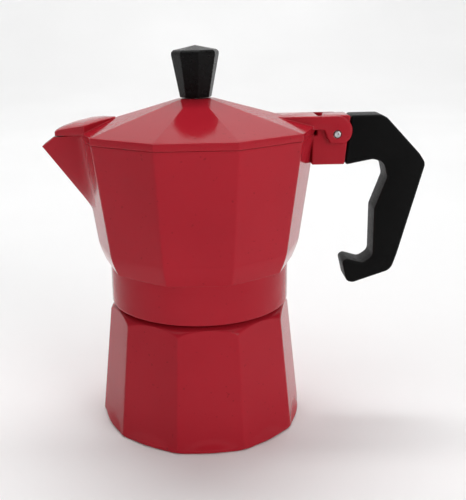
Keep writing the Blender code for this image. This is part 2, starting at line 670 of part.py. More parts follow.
# ---------------------------------------------------------------- knob and its fixing
knob = lathe("knob", [
    (0.0, KNOB_BASE_Z + 20.4), (8.7, KNOB_BASE_Z + 18.6), (9.65, KNOB_BASE_Z + 17.7),
    (9.65, KNOB_BASE_Z + 16.6), (6.45, KNOB_BASE_Z), (0.0, KNOB_BASE_Z)], 8)
turned(knob, KNOB_YAW)
soften(knob, 0.45, 2)
knob_bore = cylinder("knob_bore", 2.9, (0, 0, KNOB_BASE_Z - 2.0), (0, 0, KNOB_BASE_Z + 10.0), 24)
combine(knob, [knob_bore], "DIFFERENCE")
finish(knob, material("knob_plastic", BLACK, 0.42, 0.0))

knob_insert = lathe("knob_insert", [
    (1.55, KNOB_BASE_Z + 9.2), (2.6, KNOB_BASE_Z + 9.2), (2.6, KNOB_BASE_Z + 0.4),
    (1.55, KNOB_BASE_Z + 0.4)], 24)
finish(knob_insert, material("insert_brass", BRASS, 0.34, 1.0))

under_lid = LID_TOP_Z - LID_WALL - GAP
knob_washer = lathe("knob_washer", [(1.7, under_lid), (4.6, under_lid), (4.6, under_lid - 0.8),
                                    (1.7, under_lid - 0.8)], 24)
finish(knob_washer, material("washer_steel", STEEL, 0.30, 1.0))

head_z = under_lid - 0.8 - GAP
knob_screw = lathe("knob_screw", [
    (0.0, KNOB_BASE_Z + 7.0), (0.8, KNOB_BASE_Z + 7.0), (1.25, KNOB_BASE_Z + 6.5), (1.25, head_z),
    (2.8, head_z), (2.8, head_z - 1.0), (2.0, head_z - 1.9), (0.0, head_z - 2.1)], 24)
slot_a = box("slot_a", (-1.5, -0.3, head_z - 3.0), (1.5, 0.3, head_z - 1.1))
slot_b = box("slot_b", (-0.3, -1.5, head_z - 3.0), (0.3, 1.5, head_z - 1.1))
combine(knob_screw, [slot_a, slot_b], "DIFFERENCE")
finish(knob_screw, material("knob_screw_steel", STEEL, 0.28, 1.0))

# ---------------------------------------------------------------- handle
HANDLE_OUTLINE = [
    (61.9, 128.7, 1.0), (73.9, 128.7, 3.0), (76.2, 127.4, 3.0), (89.6, 112.9, 4.0),
    (92.3, 108.9, 4.0), (82.6, 70.8, 6.0), (80.4, 63.9, 5.0), (64.6, 58.4, 3.5),
    (62.0, 59.2, 2.5), (60.0, 67.7, 1.8), (61.8, 69.0, 1.8), (68.6, 67.0, 3.0),
    (72.6, 69.8, 3.5), (72.4, 90.2, 4.0), (77.1, 103.3, 4.0), (75.6, 109.6, 4.0),
    (71.0, 110.9, 4.0), (60.0, 108.8, 0.8)]
handle = outline_solid("handle", rounded(HANDLE_OUTLINE, 3), HANDLE_HALF, HANDLE_EDGE, 2)
socket = box("socket", (55.0, -TANG_HALF - GAP, TANG_Z[0] - GAP),
             (TANG_X + GAP, TANG_HALF + GAP, TANG_Z[1] + GAP))
screw_way = cylinder("screw_way", 1.6, (HANDLE_SCREW_X, 0, 104), (HANDLE_SCREW_X, 0, 118), 20)
screw_sink = cylinder("screw_sink", 3.1, (HANDLE_SCREW_X, 0, 104), (HANDLE_SCREW_X, 0, 112.6), 24)
combine(handle, [socket, screw_way, screw_sink], "DIFFERENCE")
finish(handle, material("handle_plastic", BLACK, 0.55, 0.0), (61.9, 0.0, 119.0), 40.0)

handle_screw = lathe("handle_screw", [
    (0.0, 122.0), (0.8, 122.0), (1.3, 121.4), (1.3, 112.3), (2.7, 112.3), (2.7, 111.4),
    (1.9, 110.6), (0.0, 110.4)], 24)
handle_screw.data.transform(Matrix.Translation((HANDLE_SCREW_X * MM, 0.0, 0.0)))
slot_c = box("slot_c", (HANDLE_SCREW_X - 1.4, -0.3, 109.0), (HANDLE_SCREW_X + 1.4, 0.3, 111.2))
slot_d = box("slot_d", (HANDLE_SCREW_X - 0.3, -1.4, 109.0), (HANDLE_SCREW_X + 0.3, 1.4, 111.2))
combine(handle_screw, [slot_c, slot_d], "DIFFERENCE")
finish(handle_screw, material("handle_screw_steel", STEEL, 0.28, 1.0), (HANDLE_SCREW_X, 0.0, 112.3))
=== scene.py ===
"""Looks of the stovetop coffee maker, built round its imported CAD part.

The frame is the part's own: metres, +Z up, the origin in the middle of the underside, the spout
along -X and the handle along +X. Dimensions here are millimetres, scaled by MM.
"""
import math

import bmesh
import bpy
import numpy as np
from mathutils import Matrix, Vector


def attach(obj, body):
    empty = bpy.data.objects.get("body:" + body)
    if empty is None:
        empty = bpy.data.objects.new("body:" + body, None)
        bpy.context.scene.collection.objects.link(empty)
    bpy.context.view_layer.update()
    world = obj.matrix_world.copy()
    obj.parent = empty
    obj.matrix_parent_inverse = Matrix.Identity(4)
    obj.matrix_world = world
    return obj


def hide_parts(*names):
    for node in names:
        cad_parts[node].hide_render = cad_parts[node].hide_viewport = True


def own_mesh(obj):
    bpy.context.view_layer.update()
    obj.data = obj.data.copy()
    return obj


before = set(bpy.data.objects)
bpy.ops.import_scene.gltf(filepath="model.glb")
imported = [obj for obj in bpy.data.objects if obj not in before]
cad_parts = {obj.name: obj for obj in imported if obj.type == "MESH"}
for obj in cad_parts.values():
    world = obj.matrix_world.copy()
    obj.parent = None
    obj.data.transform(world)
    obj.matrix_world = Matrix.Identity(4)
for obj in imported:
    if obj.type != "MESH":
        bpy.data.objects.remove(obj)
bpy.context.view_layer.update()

MM = 0.001
SIDES = 10                   # facets round the boiler, collector and lid
FACET = 2.0 * math.pi / SIDES
BASE_YAW = math.radians(4.9)  # how far the boiler's facets sit round from the collector's
KNOB_YAW = math.radians(9.0)

# Measures in mm, after the part's
BASE_FOOT_R = 43.8
BASE_TAPER = 0.110
BASE_SHOULDER_R = 39.0
BASE_CORNER_R = 6.0
BASE_SHOULDER_Z = 51.2
NECK_R = 32.6
NECK_BORE_R = 29.6
NECK_TOP_Z = 62.6
THREAD_START_Z = 54.0
THREAD_PITCH = 3.0
THREAD_TURNS = 2.3
VALVE_AZ = BASE_YAW + math.radians(90.0)
VALVE_Z = 34.0
VALVE_HOLE_R = 4.3
VALVE_SEAT_R = 7.6
VALVE_SEAT_X = 36.6          # distance of the spot face from the axis
COLLAR_R = 37.5
COLLAR_Z = 52.5
COLLAR_BORE_R = 33.7
CREASE_Z = 68.1              # where the collar meets the facets
SEAT_Z = 69.3
RIM_Z = 122.0
BODY_WALL = 2.5
SPOUT_ROOT_Z = 92.0
SPOUT_ROOT_REACH = 44.3
SPOUT_LEAN = 0.748           # reach gained per unit of height along the front edge
SPOUT_ROOT_X = 38.0          # its sides are struck from this distance from the axis
SPOUT_ROOT_W = 12.5
SPOUT_EDGE_W = 1.2
SPOUT_WALL = 2.6
SPOUT_SPREAD = 24.0          # degrees either side of -X that hold it
SPOUT_LIP_X = 57.9
SPOUT_LIP_Z = 122.3
SPOUT_LIP_FALL = 0.68
SPOUT_BACK_X = 44.2
SPOUT_BACK_Z = 123.8
LID_RIM_R = 49.2
LID_RIM_Z = 124.9
LID_LOW_Z = 122.08           # 0.32 below the part's, for a fainter seam
LID_SLOPE = 0.2744
LID_TOP_R = 7.0
LID_TOP_Z = LID_RIM_Z + LID_SLOPE * (LID_RIM_R - LID_TOP_R)
LID_WALL = 2.3
PIN_X = 56.0
PIN_Z = 121.6
PIN_BORE_R = 1.65
SCREW_X = 67.0               # the handle's screw
SCREW_HOLE_R = 1.6
SCREW_HEAD_R = 3.1
KNOB_Z = LID_TOP_Z + 0.3


# ---------------------------------------------------------------- mesh tools
def make(name, mesh):
    """Link a mesh as a new object."""
    obj = bpy.data.objects.new(name, mesh)
    bpy.context.scene.collection.objects.link(obj)
    return obj


def tidy(obj, merge=0.000002):
    """Weld doubles and turn the faces outwards."""
    bm = bmesh.new()
    bm.from_mesh(obj.data)
    bmesh.ops.remove_doubles(bm, verts=bm.verts, dist=merge)
    bmesh.ops.recalc_face_normals(bm, faces=bm.faces)
    bm.to_mesh(obj.data)
    bm.free()
    return obj


def skin(name, rows, closed=True, kinds=None):
    """A surface through rows of points (rows, columns, 3) in mm, its columns wrapping round.

    A closed surface also joins its last row to its first. kinds gives each row's material.
    """
    rows = np.asarray(rows, float)
    count, cols = rows.shape[:2]
    mesh = bpy.data.meshes.new(name)
    i = np.arange(count if closed else count - 1)
    j = np.arange(cols)
    ii, jj = np.meshgrid(i, j, indexing="ij")
    nxt, side = (ii + 1) % count, (jj + 1) % cols
    faces = np.stack([ii * cols + jj, nxt * cols + jj, nxt * cols + side, ii * cols + side], -1)
    mesh.from_pydata((rows.reshape(-1, 3) * MM).tolist(), [], faces.reshape(-1, 4).tolist())
    if kinds is not None:
        which = np.repeat(np.asarray(kinds)[: len(i)], cols).astype(np.int32)
        mesh.polygons.foreach_set("material_index", which)
    return tidy(make(name, mesh))


def polar(radius, phi, z):
    """Points from radii at angles, all in mm."""
    radius, phi, z = np.broadcast_arrays(radius, phi, z)
    return np.stack([radius * np.cos(phi), radius * np.sin(phi), z], -1)


def spin(name, profile, cols=96, closed=True):
    """Turn a profile of (radius, height) about Z."""
    phi = np.linspace(0.0, 2.0 * math.pi, cols, endpoint=False)
    rows = [polar(r, phi, z) for r, z in profile]
    return skin(name, rows, closed)


def finer(profile, step):
    """Points no further apart than step along a profile, for rows of a skin."""
    out = []
    for (r0, z0), (r1, z1) in zip(profile, profile[1:]):
        parts = max(1, int(math.ceil(math.hypot(r1 - r0, z1 - z0) / step)))
        out += [(r0 + (r1 - r0) * k / parts, z0 + (z1 - z0) * k / parts) for k in range(parts)]
    return out + [profile[-1]]


def rounded(points, steps=4, closed=True):
    """Points of an outline whose corners (x, y, radius) are struck as arcs."""
    out = []
    count = len(points)
    for i, (x, y, r) in enumerate(points):
        if r <= 0.0 or (not closed and i in (0, count - 1)):
            out.append((x, y))
            continue
        here = Vector((x, y))
        to_a = Vector(points[i - 1][:2]) - here
        to_b = Vector(points[(i + 1) % count][:2]) - here
        half = to_a.angle(to_b) / 2.0
        reach = min(r / math.tan(half), 0.49 * to_a.length, 0.49 * to_b.length)
        radius = reach * math.tan(half)
        mid = (to_a.normalized() + to_b.normalized()).normalized()
        centre = here + mid * (radius / math.sin(half))
        start = here + to_a.normalized() * reach - centre
        end = here + to_b.normalized() * reach - centre
        turn = start.angle_signed(end)
        for k in range(steps + 1):
            arm = start.copy()
            arm.rotate(Matrix.Rotation(-turn * k / steps, 2))
            out.append(tuple(centre + arm))
    return out


def arc(cx, cz, r, start, end, steps):
    """Points along an arc, angles in degrees."""
    span = [math.radians(start + (end - start) * k / steps) for k in range(steps + 1)]
    return [(cx + r * math.cos(a), cz + r * math.sin(a)) for a in span]


def flat_solid(name, outlines, half, bevel=0.0, segments=4, angle=40.0):
    """Fill outlines, the later ones as holes, and thicken by half either way along local Z."""
    curve = bpy.data.curves.new(name, "CURVE")
    curve.dimensions = "2D"
    curve.fill_mode = "BOTH"
    curve.extrude = half * MM
    for points in outlines:
        spline = curve.splines.new("POLY")
        spline.points.add(len(points) - 1)
        for point, (x, y) in zip(spline.points, points):
            point.co = (x * MM, y * MM, 0.0, 1.0)
        spline.use_cyclic_u = True
    shape = make(name + "_curve", curve)
    graph = bpy.context.evaluated_depsgraph_get()
    mesh = bpy.data.meshes.new_from_object(shape.evaluated_get(graph), depsgraph=graph)
    bpy.data.objects.remove(shape, do_unlink=True)
    obj = tidy(make(name, mesh))
    if bevel > 0.0:
        bm = bmesh.new()
        bm.from_mesh(obj.data)
        bmesh.ops.dissolve_limit(bm, angle_limit=0.001, verts=bm.verts, edges=bm.edges)
        bm.to_mesh(obj.data)
        bm.free()
        soften(obj, bevel, segments, angle)
    return obj


def side_solid(name, points, half, bevel=0.0, segments=4, angle=40.0):
    """A solid from an XZ outline, half either side of Y = 0."""
    obj = flat_solid(name, [points], half, bevel, segments, angle)
    obj.data.transform(Matrix.Rotation(math.pi / 2.0, 4, "X"))
    return obj


def bake(obj):
    """Apply an object's modifiers."""
    graph = bpy.context.evaluated_depsgraph_get()
    mesh = bpy.data.meshes.new_from_object(obj.evaluated_get(graph), depsgraph=graph)
    obj.modifiers.clear()
    obj.data = mesh
    return obj


def soften(obj, width, segments=3, angle=30.0):
    """Round the edges that turn through more than an angle."""
    soft = obj.modifiers.new("edge", "BEVEL")
    soft.width = width * MM
    soft.segments = segments
    soft.limit_method = "ANGLE"
    soft.angle_limit = math.radians(angle)
    return bake(obj)


def combine(obj, tools, how="DIFFERENCE"):
    """Cut or join an object with each tool in turn, and drop the tools."""
    for tool in tools:
        step = obj.modifiers.new("cut", "BOOLEAN")
        step.operation = how
        step.solver = "EXACT"
        step.object = tool
    bake(obj)
    for tool in tools:
        bpy.data.objects.remove(tool, do_unlink=True)
    return obj


def merge(obj, others):
    """Put other objects' meshes into this one's."""
    bm = bmesh.new()
    bm.from_mesh(obj.data)
    for other in others:
        bm.from_mesh(other.data)
        bpy.data.objects.remove(other, do_unlink=True)
    bm.to_mesh(obj.data)
    bm.free()
    return obj


def box(low, high):
    """A box between two corners, in mm."""
    bm = bmesh.new()
    bmesh.ops.create_cube(bm, size=1.0)
    bmesh.ops.scale(bm, vec=[(h - l) * MM for l, h in zip(low, high)], verts=bm.verts)
    bmesh.ops.translate(bm, vec=[(h + l) / 2.0 * MM for l, h in zip(low, high)], verts=bm.verts)
    mesh = bpy.data.meshes.new("box")
    bm.to_mesh(mesh)
    bm.free()
    return make("box", mesh)


def rod(radius, start, end, sides=48):
    """A round rod between two points, in mm."""
    a, b = Vector(start) * MM, Vector(end) * MM
    bm = bmesh.new()
    bmesh.ops.create_cone(bm, cap_ends=True, segments=sides, radius1=radius * MM,
                          radius2=radius * MM, depth=(b - a).length)
    turn = (b - a).to_track_quat("Z", "Y").to_matrix().to_4x4()
    bmesh.ops.transform(bm, matrix=Matrix.Translation((a + b) / 2.0) @ turn, verts=bm.verts)
    mesh = bpy.data.meshes.new("rod")
    bm.to_mesh(mesh)
    bm.free()
    return make("rod", mesh)


def ridges(obj, yaw, low, high):
    """Keep the shading crisp along a polygon's corners between two heights in mm."""
    mesh = obj.data
    at = np.empty(3 * len(mesh.vertices))
    mesh.vertices.foreach_get("co", at)
    at = at.reshape(-1, 3) / MM
    turn = np.mod(np.arctan2(at[:, 1], at[:, 0]) - yaw + FACET / 2.0, FACET) - FACET / 2.0
    on = (np.abs(turn) < 0.0004) & (np.hypot(at[:, 0], at[:, 1]) > 7.5)
    on &= (at[:, 2] > low) & (at[:, 2] < high)
    for edge in mesh.edges:
        if on[edge.vertices[0]] and on[edge.vertices[1]]:
            edge.use_edge_sharp = True


def piece(obj, body, materials, nodes, sharp=32.0, ridge=None):
    """Shade a finished object, give it its materials and hang it on its CAD body."""
    obj.data.shade_smooth()
    obj.data.set_sharp_from_angle(angle=math.radians(sharp))
    if ridge is not None:
        ridges(obj, *ridge)
    kept = [p.material_index for p in obj.data.polygons]
    obj.data.materials.clear()
    for mat in materials:
        obj.data.materials.append(mat)
    obj.data.polygons.foreach_set("material_index", [min(k, len(materials) - 1) for k in kept])
    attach(obj, body)
    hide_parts(*nodes)
    return obj


# ---------------------------------------------------------------- blended forms
def polygon_r(phi, corner_r, yaw=0.0, sides=SIDES, power=320.0):
    """Radius of a regular polygon with slightly rounded corners, the first corner at yaw."""
    step = 2.0 * math.pi / sides
    turn = np.mod(phi - yaw, step) - step / 2.0
    near = np.cos(turn) ** power + np.maximum(np.cos(np.abs(turn) - step), 0.0) ** power
    return corner_r * math.cos(step / 2.0) * near ** (-1.0 / power)


def soft_max(a, b, h):
    """The larger of two distances, with a fillet about h across."""
    return np.maximum(a, b) + np.maximum(h - np.abs(a - b), 0.0) ** 2 / (4.0 * h)


def soft_min(a, b, h):
    """The smaller of two distances, with a fillet about h across."""
    return -soft_max(-a, -b, h)


def facet_angles(yaw, per=18, crowd=0.75):
    """Angles round a polygon, crowded towards its corners."""
    u = np.arange(per) / per
    u = u - crowd * np.sin(2.0 * math.pi * u) / (2.0 * math.pi)
    return np.concatenate([yaw + FACET * (k + u) for k in range(SIDES)])


# ---------------------------------------------------------------- materials
class Nodes:
    """A small builder for a node material."""

    def __init__(self, name):
        self.mat = bpy.data.materials.new(name)
        self.mat.use_nodes = True
        self.tree = self.mat.node_tree
        self.shader = self.tree.nodes["Principled BSDF"]

    def add(self, kind, **settings):
        node = self.tree.nodes.new(kind)
        for key, value in settings.items():
            setattr(node, key, value)
        return node

    def feed(self, socket, value):
        """Link an output to a socket, or set the socket's value."""
        if isinstance(value, bpy.types.NodeSocket):
            self.tree.links.new(value, socket)
        else:
            socket.default_value = value

    def coords(self):
        return self.add("ShaderNodeTexCoord").outputs["Object"]

    def noise(self, scale, detail=3.0, roughness=0.5, vector=None):
        node = self.add("ShaderNodeTexNoise")
        node.inputs["Scale"].default_value = scale
        node.inputs["Detail"].default_value = detail
        node.inputs["Roughness"].default_value = roughness
        self.feed(node.inputs["Vector"], vector if vector is not None else self.coords())
        return node.outputs["Fac"]

    def span(self, value, low, high, out_low, out_high):
        """A value mapped from one range to another, and held inside it."""
        node = self.add("ShaderNodeMapRange")
        for key, number in (("From Min", low), ("From Max", high), ("To Min", out_low),
                            ("To Max", out_high)):
            node.inputs[key].default_value = number
        self.feed(node.inputs["Value"], value)
        return node.outputs["Result"]

    def maths(self, how, a, b=0.0):
        node = self.add("ShaderNodeMath", operation=how)
        self.feed(node.inputs[0], a)
        self.feed(node.inputs[1], b)
        return node.outputs["Value"]

    def mix(self, factor, a, b):
        node = self.add("ShaderNodeMix", data_type="RGBA")
        self.feed(node.inputs["Factor"], factor)
        for key, value in (("A", a), ("B", b)):
            socket = [s for s in node.inputs if s.name == key and s.type == "RGBA"][0]
            self.feed(socket, value if isinstance(value, bpy.types.NodeSocket) else (*value, 1.0))
        return [s for s in node.outputs if s.type == "RGBA"][0]

    def bump(self, height, strength, distance, normal=None):
        node = self.add("ShaderNodeBump")
        node.inputs["Strength"].default_value = strength
        node.inputs["Distance"].default_value = distance
        self.feed(node.inputs["Height"], height)
        if normal is not None:
            self.feed(node.inputs["Normal"], normal)
        return node.outputs["Normal"]

    def edge(self, radius):
        """The normal with edges rounded over a radius in mm."""
        node = self.add("ShaderNodeBevel", samples=6)
        node.inputs["Radius"].default_value = radius * MM
        return node.outputs["Normal"]

    def edge_mask(self, radius):
        """1 along edges, 0 on flat ground."""
        dot = self.add("ShaderNodeVectorMath", operation="DOT_PRODUCT")
        self.feed(dot.inputs[0], self.edge(radius))
        self.feed(dot.inputs[1], self.add("ShaderNodeNewGeometry").outputs["Normal"])
        return self.span(dot.outputs["Value"], 0.999, 0.94, 0.0, 1.0)

    def finish(self, **inputs):
        """Feed the shader's inputs and give the material."""
        names = {"colour": "Base Color", "roughness": "Roughness", "metallic": "Metallic",
                 "normal": "Normal", "specular": "Specular IOR Level"}
        for key, value in inputs.items():
            if key == "colour" and not isinstance(value, bpy.types.NodeSocket):
                value = (*value, 1.0)
            self.feed(self.shader.inputs[names[key]], value)
        return self.mat


def red_paint():
    """Stoved gloss paint over cast aluminium: faint orange peel, dust, and a painted highlight of
    lighter pink along the edges.
    """
    n = Nodes("red_paint")
    broad = n.noise(28.0, 2.0)
    cloud = n.noise(160.0, 4.0, 0.6)
    base = n.mix(n.span(broad, 0.3, 0.7, 0.0, 1.0),
                 (0.380, 0.0125, 0.0235), (0.415, 0.0145, 0.0265))
    base = n.mix(n.span(cloud, 0.5, 0.8, 0.0, 0.10), base, (0.46, 0.022, 0.034))
    speck = n.span(n.noise(900.0, 0.0, 0.5), 0.80, 0.82, 0.0, 0.6)
    base = n.mix(speck, base, (0.20, 0.006, 0.012))
    # painted highlight: the edges are mixed halfway to a lighter pink, standing in for light caught
    # on the rounded edges
    base = n.mix(n.maths("MULTIPLY", n.edge_mask(0.4), 0.5), base, (0.56, 0.09, 0.10))
    rough = n.span(n.noise(70.0, 5.0, 0.65), 0.3, 0.75, 0.09, 0.14)
    normal = n.bump(n.noise(95.0, 1.0, 0.4), 0.05, 0.0008, n.edge(0.2))
    normal = n.bump(n.noise(620.0, 2.0, 0.4), 0.05, 0.0003, normal)
    return n.finish(colour=base, roughness=rough, specular=0.125, normal=normal)


def plastic(name, grain, dark, light, low, high, edge, shine):
    """Moulded black phenolic plastic with a fine grain, rubbed a little smoother at the edges, with
    a painted highlight of lighter grey along them.
    """
    n = Nodes(name)
    cloud = n.noise(45.0, 4.0, 0.6)
    fine = n.noise(grain, 3.0, 0.6)
    base = n.mix(n.span(cloud, 0.3, 0.7, 0.0, 1.0), dark, light)
    rubbed_edge_and_highlight = n.edge_mask(edge * 1.3)
    # painted highlight: lighter grey along the edges stands in for light caught on them; the
    # roughness below uses the same mask for real rubbing
    base = n.mix(n.maths("MULTIPLY", rubbed_edge_and_highlight, 0.7), base, (0.034, 0.034, 0.034))
    rough = n.span(n.noise(grain * 0.4, 3.0, 0.6), 0.3, 0.7, low, high)
    rough = n.maths("SUBTRACT", rough, n.maths("MULTIPLY", rubbed_edge_and_highlight, 0.08))
    normal = n.bump(fine, 0.35, 0.0002, n.edge(edge))
    return n.finish(colour=base, roughness=rough, specular=shine, normal=normal)


def turned_metal(name, colour, low, high, pitch=2600.0):
    """Spun or turned metal: fine rings about its axis, with slight staining."""
    n = Nodes(name)
    split = n.add("ShaderNodeSeparateXYZ")
    n.feed(split.inputs[0], n.coords())
    x, y, z = (split.outputs[k] for k in "XYZ")
    across = n.maths("SQRT", n.maths("ADD", n.maths("POWER", x, 2.0), n.maths("POWER", y, 2.0)))
    join = n.add("ShaderNodeCombineXYZ")
    n.feed(join.inputs[0], n.maths("MULTIPLY", across, pitch))
    n.feed(join.inputs[1], n.maths("MULTIPLY", z, pitch))
    rings = n.noise(1.0, 2.0, 0.6, join.outputs[0])
    stain = n.noise(55.0, 5.0, 0.65)
    darker = tuple(c * 0.72 for c in colour)
    base = n.mix(n.span(stain, 0.35, 0.75, 0.0, 0.8), colour, darker)
    rough = n.maths("ADD", n.span(stain, 0.3, 0.7, low, high), n.span(rings, 0.3, 0.7, -0.04, 0.04))
    normal = n.bump(rings, 0.12, 0.0001, n.edge(0.25))
    return n.finish(colour=base, roughness=rough, metallic=1.0, normal=normal)


def cast_metal(name, colour, low, high):
    """Bare cast aluminium, stained a little by water and coffee."""
    n = Nodes(name)
    pits = n.noise(900.0, 4.0, 0.7)
    stain = n.noise(38.0, 6.0, 0.7)
    base = n.mix(n.span(stain, 0.4, 0.75, 0.0, 0.75), colour, tuple(c * 0.6 for c in colour))
    rough = n.span(stain, 0.3, 0.7, low, high)
    normal = n.bump(pits, 0.35, 0.0002, n.edge(0.4))
    return n.finish(colour=base, roughness=rough, metallic=1.0, normal=normal)


def rubber():
    """Pale gasket rubber."""
    n = Nodes("gasket_rubber")
    mottle = n.noise(120.0, 5.0, 0.6)
    base = n.mix(n.span(mottle, 0.35, 0.7, 0.0, 1.0), (0.66, 0.65, 0.60), (0.56, 0.54, 0.48))
    normal = n.bump(n.noise(1400.0, 2.0), 0.2, 0.0002, n.edge(0.3))
    return n.finish(colour=base, roughness=n.span(mottle, 0.3, 0.7, 0.52, 0.66), normal=normal,
                    specular=0.35)


RED = red_paint()
HANDLE_BLACK = plastic("handle_plastic", 1500.0, (0.0018, 0.0018, 0.0018),
                       (0.0032, 0.0032, 0.0031), 0.38, 0.50, 0.7, 0.075)
KNOB_BLACK = plastic("knob_plastic", 1200.0, (0.0018, 0.0018, 0.0018),
                     (0.0032, 0.0032, 0.0032), 0.24, 0.34, 0.4, 0.12)
CAST = cast_metal("cast_aluminium", (0.62, 0.62, 0.61), 0.36, 0.55)
SPUN = turned_metal("spun_aluminium", (0.70, 0.70, 0.70), 0.26, 0.42)
STEEL = turned_metal("plain_steel", (0.58, 0.58, 0.59), 0.20, 0.34, 4000.0)
BRASS = turned_metal("valve_brass", (0.68, 0.47, 0.20), 0.24, 0.40, 3600.0)
RUBBER = rubber()


# ---------------------------------------------------------------- boiler
def base_r(z):
    """Across-corner radius of the boiler at a height."""
    return BASE_FOOT_R - BASE_TAPER * z


def thread_rise(phi, z):
    """Height of the thread's ridge above the neck."""
    turns = (z - THREAD_START_Z) / THREAD_PITCH - phi / (2.0 * math.pi)
    off = np.abs(turns - np.round(turns)) * THREAD_PITCH
    along = np.round(turns) + phi / (2.0 * math.pi)
    fade = np.clip(np.minimum(along, THREAD_TURNS - along) * 10.0, 0.0, 1.0)
    return 0.48 * fade * np.exp(-(off / 0.55) ** 4)


def boiler_rows():
    """Rows from the middle of the floor inside, over the neck and down to the underside."""
    inside = rounded([(0.0, 3.0, 0), (34.6, 3.0, 3.0), (38.1, 7.0, 3.0), (34.9, 40.5, 4.0),
                      (34.2, 44.5, 2.0), (30.4, 50.2, 2.0), (NECK_BORE_R, 52.2, 1.0),
                      (NECK_BORE_R, NECK_TOP_Z, 0.3), (NECK_R, NECK_TOP_Z, 0.7), (NECK_R, 52.2, 0)],
                     4, False)
    neck = finer([(NECK_R, 61.6), (NECK_R, 52.6)], 0.22)
    inside = finer(inside[:-1], 2.2)
    shoulder = [(NECK_R, 52.4), (NECK_R, 51.5), (NECK_R + 0.1, 51.25)]
    shoulder += arc(BASE_SHOULDER_R - BASE_CORNER_R, BASE_SHOULDER_Z - BASE_CORNER_R,
                    BASE_CORNER_R, 90.0, 0.0, 30)
    skirt = finer([(39.3, 44.0), (46.0, 38.0), (46.0, 6.4)], 1.5)
    foot = rounded([(46.0, 6.2, 0), (44.0, 3.6, 0), (43.4, 0.0, 1.1), (36.0, 0.0, 0)], 10, False)
    under = finer([(34.0, 0.0), (0.0, 0.0)], 5.0)
    phi = facet_angles(BASE_YAW)
    rows, kinds = [], []
    for r, z in inside:
        rows.append(polar(np.full_like(phi, r), phi, z))
        kinds.append(1)
    for r, z in neck:
        rows.append(polar(r + thread_rise(phi, z), phi, z))
        kinds.append(1)
    for r, z in finer(shoulder, 0.35) + skirt + finer(foot, 0.35) + under:
        facets = polygon_r(phi, base_r(z), BASE_YAW)
        ring = min(r, np.interp(z, [0.0, 0.4, 1.4, 6.0, 7.0], [42.2, 42.7, 42.8, 40.6, 36.0]))
        facets = soft_max(facets, np.full_like(phi, ring), 0.7)
        rows.append(polar(soft_min(np.full_like(phi, r), facets, 0.12), phi, z))
        kinds.append(0 if z > 0.01 else 1)
    return rows, kinds


def radial(reach, offset=0.0, z=VALVE_Z):
    """A point at a distance from the pot's axis along the safety valve."""
    c, s = math.cos(VALVE_AZ), math.sin(VALVE_AZ)
    return (reach * c - offset * s, reach * s + offset * c, z)


rows, kinds = boiler_rows()
boiler = skin("boiler_look", rows, False, kinds)
combine(boiler, [rod(VALVE_HOLE_R, radial(28.0), radial(46.0)),
                 rod(VALVE_SEAT_R, radial(VALVE_SEAT_X), radial(48.0), 64)])
piece(boiler, "base", [RED, CAST], ["boiler"])


# ---------------------------------------------------------------- collector
def body_corner(z):
    """Across-corner radius of the collector at a height, drawing in to the crease."""
    return np.interp(z, [68.2, 69.0, 71.0, 73.0, 75.0, 77.0, 122.0],
                     [37.2, 39.8, 40.62, 41.42, 42.1, 42.59, 48.87])


def spout_reach(z):
    """How far the spout's front edge stands from the axis at a height."""
    return SPOUT_ROOT_REACH + SPOUT_LEAN * (z - SPOUT_ROOT_Z)


def spout_r(phi, z, root_w, edge_w, back):
    """Radius of the spout's wedge seen from the axis; small where the wedge has no part."""
    reach = np.maximum(spout_reach(z) - back, SPOUT_ROOT_X + 1.0)
    lean = (root_w - edge_w) / (reach - SPOUT_ROOT_X)
    turn = np.abs(np.mod(phi, 2.0 * math.pi) - math.pi)
    side = (edge_w + lean * reach) / (np.sin(turn) + lean * np.cos(turn))
    front = reach / np.maximum(np.cos(turn), 0.1)
    wedge = soft_min(side, front, 0.9)
    return np.where((turn < math.radians(SPOUT_SPREAD)) & (z > 84.0), wedge, 30.0)


def outer_r(phi, z):
    """Outside of the collector: facets, round collar and spout, with cast fillets."""
    facets = polygon_r(phi, body_corner(z))
    body = np.where(z > CREASE_Z, soft_max(facets, np.full_like(facets, COLLAR_R), 0.12), COLLAR_R)
    fillet = np.interp(z, [84.0, 92.0, 97.0, 122.0], [0.3, 1.6, 3.6, 3.6])
    return soft_max(body, spout_r(phi, z, SPOUT_ROOT_W, SPOUT_EDGE_W, 0.0), fillet)


def bowl_r(phi, z, power=320.0):
    """Inside radius of the bowl at a height, without the spout."""
    return polygon_r(phi, body_corner(z) - BODY_WALL / math.cos(FACET / 2.0), power=power)


def inner_r(phi, z):
    """Inside of the collector's bowl and spout channel."""
    return soft_max(bowl_r(phi, z, 110.0), spout_r(phi, z, 10.5, 0.5, SPOUT_WALL), 2.0)


def rim_z(radius, phi):
    """Height of the rim: level round the bowl, up a little under the hood, down to the tip."""
    out = -radius * np.cos(phi)
    near = np.abs(np.mod(phi, 2.0 * math.pi) - math.pi) < math.radians(SPOUT_SPREAD)
    spout = np.interp(out, [43.0, SPOUT_BACK_X, SPOUT_LIP_X, SPOUT_LIP_X + 10.0],
                      [RIM_Z, SPOUT_BACK_Z, SPOUT_LIP_Z, SPOUT_LIP_Z - 10.0 * SPOUT_LIP_FALL])
    apart = bowl_r(phi, RIM_Z) + 0.6
    blend = np.clip((radius - apart) / 0.8, 0.0, 1.0)
    return np.where(near, RIM_Z + (spout - RIM_Z) * blend, RIM_Z)


def under_lip(how, phi, z, inset=0.0):
    """Radius and height of a row, carried up or down where the rim leaves its level."""
    top = np.full_like(phi, RIM_Z)
    for _ in range(14):
        top = 0.5 * top + 0.5 * rim_z(how(phi, top), phi)
    drop = (RIM_Z - top) * max(0.0, min(1.0, (z - 108.0) / (RIM_Z - 108.0)))
    height = z - drop
    return how(phi, height) - inset, height


